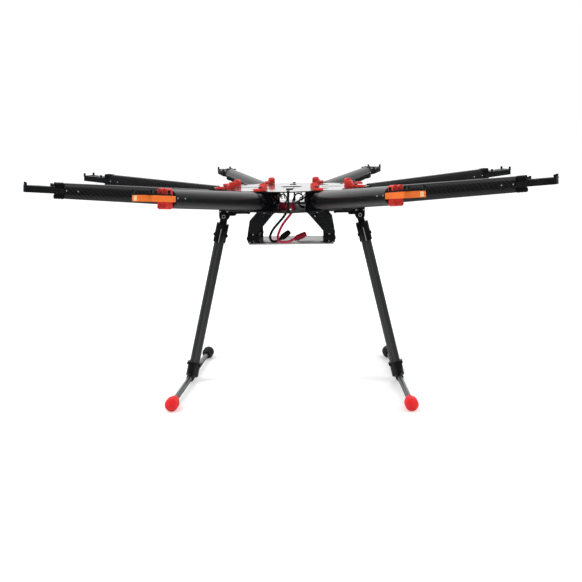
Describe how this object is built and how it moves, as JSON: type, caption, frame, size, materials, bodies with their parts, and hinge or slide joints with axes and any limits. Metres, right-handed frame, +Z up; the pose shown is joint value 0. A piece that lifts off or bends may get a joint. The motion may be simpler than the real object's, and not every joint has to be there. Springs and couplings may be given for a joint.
{
  "type": "folding multirotor drone frame",
  "caption": "Folding carbon-fibre camera drone frame with radial fold-down arms, motor mounts, latches, a hung battery tray and swing-up landing legs on skids.",
  "frame": {"origin": "on the ground under the middle of the frame, at the centre of the footprint", "axes": "+Z up; -Y towards the front, where the two coloured arms are; +X across"},
  "size_m": [0.9856, 0.9856, 0.4464],
  "materials": {
    "carbon_plate": "satin woven carbon fibre plate",
    "carbon_tube": "glossy carbon fibre tube",
    "black_plastic": "fine moulded grain",
    "dark_aluminium": "dark blue-black anodised",
    "steel": "turned and brushed",
    "circuit_board": "dark green solder mask",
    "tray_plate": "pale plate, polished",
    "lead_black": "soft silicone",
    "lead_red": "soft silicone",
    "connector_green": "moulded",
    "connector_red": "moulded",
    "orange_plastic": "satin moulded",
    "red_plastic": "satin moulded",
    "red_rubber": "smooth moulded",
    "black_rubber": "smooth moulded"
  },
  "bodies": {
    "frame": {"top_plate": "carbon_plate", "bottom_plate": "carbon_plate", "plate_standoffs": "black_plastic", "arm_hinge_blocks": "dark_aluminium", "hinge_pins_and_screws": "steel", "power_board": "circuit_board", "hanger_plates": "carbon_plate", "damper_rods": "black_rubber", "battery_tray": "tray_plate", "gear_brackets": "black_plastic", "lead_black": "lead_black", "lead_red": "lead_red", "connector_black": "connector_green", "connector_red": "connector_red"},
    "arm_1": {"arm_1_knuckle": "black_plastic", "arm_1_boom": "carbon_tube", "arm_1_motor_mount": "orange_plastic"},
    "arm_2": {"arm_2_knuckle": "black_plastic", "arm_2_boom": "carbon_tube", "arm_2_motor_mount": "black_plastic"},
    "arm_3": {"arm_3_knuckle": "black_plastic", "arm_3_boom": "carbon_tube", "arm_3_motor_mount": "black_plastic"},
    "arm_4": {"arm_4_knuckle": "black_plastic", "arm_4_boom": "carbon_tube", "arm_4_motor_mount": "black_plastic"},
    "arm_5": {"arm_5_knuckle": "black_plastic", "arm_5_boom": "carbon_tube", "arm_5_motor_mount": "black_plastic"},
    "arm_6": {"arm_6_knuckle": "black_plastic", "arm_6_boom": "carbon_tube", "arm_6_motor_mount": "black_plastic"},
    "arm_7": {"arm_7_knuckle": "black_plastic", "arm_7_boom": "carbon_tube", "arm_7_motor_mount": "black_plastic"},
    "arm_8": {"arm_8_knuckle": "black_plastic", "arm_8_boom": "carbon_tube", "arm_8_motor_mount": "orange_plastic"},
    "latch_1": {"latch_1": "red_plastic"},
    "latch_2": {"latch_2": "red_plastic"},
    "latch_3": {"latch_3": "red_plastic"},
    "latch_4": {"latch_4": "red_plastic"},
    "latch_5": {"latch_5": "red_plastic"},
    "latch_6": {"latch_6": "red_plastic"},
    "latch_7": {"latch_7": "red_plastic"},
    "latch_8": {"latch_8": "red_plastic"},
    "leg_left": {"leg_left_fork": "black_plastic", "leg_left_tube": "carbon_tube", "leg_left_tee": "black_plastic", "leg_left_skid": "carbon_tube", "leg_left_cap_front": "red_rubber", "leg_left_cap_rear": "black_rubber"},
    "leg_right": {"leg_right_fork": "black_plastic", "leg_right_tube": "carbon_tube", "leg_right_tee": "black_plastic", "leg_right_skid": "carbon_tube", "leg_right_cap_front": "red_rubber", "leg_right_cap_rear": "black_rubber"},
    "lever_left": {"gear_lever_left": "black_plastic"},
    "lever_right": {"gear_lever_right": "black_plastic"}
  },
  "joints": [
    {"name": "arm_1_fold", "type": "hinge", "parent": "frame", "child": "arm_1", "pos_m": [0.06321, -0.1526, 0.40115], "axis": [0.9239, 0.3827, 0], "range_deg": [0, 90]},
    {"name": "arm_2_fold", "type": "hinge", "parent": "frame", "child": "arm_2", "pos_m": [0.1526, -0.06321, 0.40115], "axis": [0.3827, 0.9239, 0], "range_deg": [0, 90]},
    {"name": "arm_3_fold", "type": "hinge", "parent": "frame", "child": "arm_3", "pos_m": [0.1526, 0.06321, 0.40115], "axis": [-0.3827, 0.9239, 0], "range_deg": [0, 90]},
    {"name": "arm_4_fold", "type": "hinge", "parent": "frame", "child": "arm_4", "pos_m": [0.06321, 0.1526, 0.40115], "axis": [-0.9239, 0.3827, 0], "range_deg": [0, 90]},
    {"name": "arm_5_fold", "type": "hinge", "parent": "frame", "child": "arm_5", "pos_m": [-0.06321, 0.1526, 0.40115], "axis": [-0.9239, -0.3827, 0], "range_deg": [0, 90]},
    {"name": "arm_6_fold", "type": "hinge", "parent": "frame", "child": "arm_6", "pos_m": [-0.1526, 0.06321, 0.40115], "axis": [-0.3827, -0.9239, 0], "range_deg": [0, 90]},
    {"name": "arm_7_fold", "type": "hinge", "parent": "frame", "child": "arm_7", "pos_m": [-0.1526, -0.06321, 0.40115], "axis": [0.3827, -0.9239, 0], "range_deg": [0, 90]},
    {"name": "arm_8_fold", "type": "hinge", "parent": "frame", "child": "arm_8", "pos_m": [-0.06321, -0.1526, 0.40115], "axis": [0.9239, -0.3827, 0], "range_deg": [0, 90]},
    {"name": "latch_1_slide", "type": "slide", "parent": "frame", "child": "latch_1", "axis": [-0.3827, 0.9239, 0], "range_m": [0, 0.006], "stiffness_N_per_m": 300},
    {"name": "latch_2_slide", "type": "slide", "parent": "frame", "child": "latch_2", "axis": [-0.9239, 0.3827, 0], "range_m": [0, 0.006], "stiffness_N_per_m": 300},
    {"name": "latch_3_slide", "type": "slide", "parent": "frame", "child": "latch_3", "axis": [-0.9239, -0.3827, 0], "range_m": [0, 0.006], "stiffness_N_per_m": 300},
    {"name": "latch_4_slide", "type": "slide", "parent": "frame", "child": "latch_4", "axis": [-0.3827, -0.9239, 0], "range_m": [0, 0.006], "stiffness_N_per_m": 300},
    {"name": "latch_5_slide", "type": "slide", "parent": "frame", "child": "latch_5", "axis": [0.3827, -0.9239, 0], "range_m": [0, 0.006], "stiffness_N_per_m": 300},
    {"name": "latch_6_slide", "type": "slide", "parent": "frame", "child": "latch_6", "axis": [0.9239, -0.3827, 0], "range_m": [0, 0.006], "stiffness_N_per_m": 300},
    {"name": "latch_7_slide", "type": "slide", "parent": "frame", "child": "latch_7", "axis": [0.9239, 0.3827, 0], "range_m": [0, 0.006], "stiffness_N_per_m": 300},
    {"name": "latch_8_slide", "type": "slide", "parent": "frame", "child": "latch_8", "axis": [0.3827, 0.9239, 0], "range_m": [0, 0.006], "stiffness_N_per_m": 300},
    {"name": "leg_left_retract", "type": "hinge", "parent": "frame", "child": "leg_left", "pos_m": [-0.1414, 0, 0.3601], "axis": [0, 1, 0], "range_deg": [0, 76]},
    {"name": "leg_right_retract", "type": "hinge", "parent": "frame", "child": "leg_right", "pos_m": [0.1414, 0, 0.3601], "axis": [0, -1, 0], "range_deg": [0, 76]},
    {"name": "gear_lever_left_swing", "type": "hinge", "parent": "frame", "child": "lever_left", "pos_m": [-0.1244, 0, 0.3669], "axis": [0, 1, 0], "range_deg": [0, 15], "stiffness_Nm_per_rad": 0.3},
    {"name": "gear_lever_right_swing", "type": "hinge", "parent": "frame", "child": "lever_right", "pos_m": [0.1244, 0, 0.3669], "axis": [0, -1, 0], "range_deg": [0, 15], "stiffness_Nm_per_rad": 0.3}
  ]
}
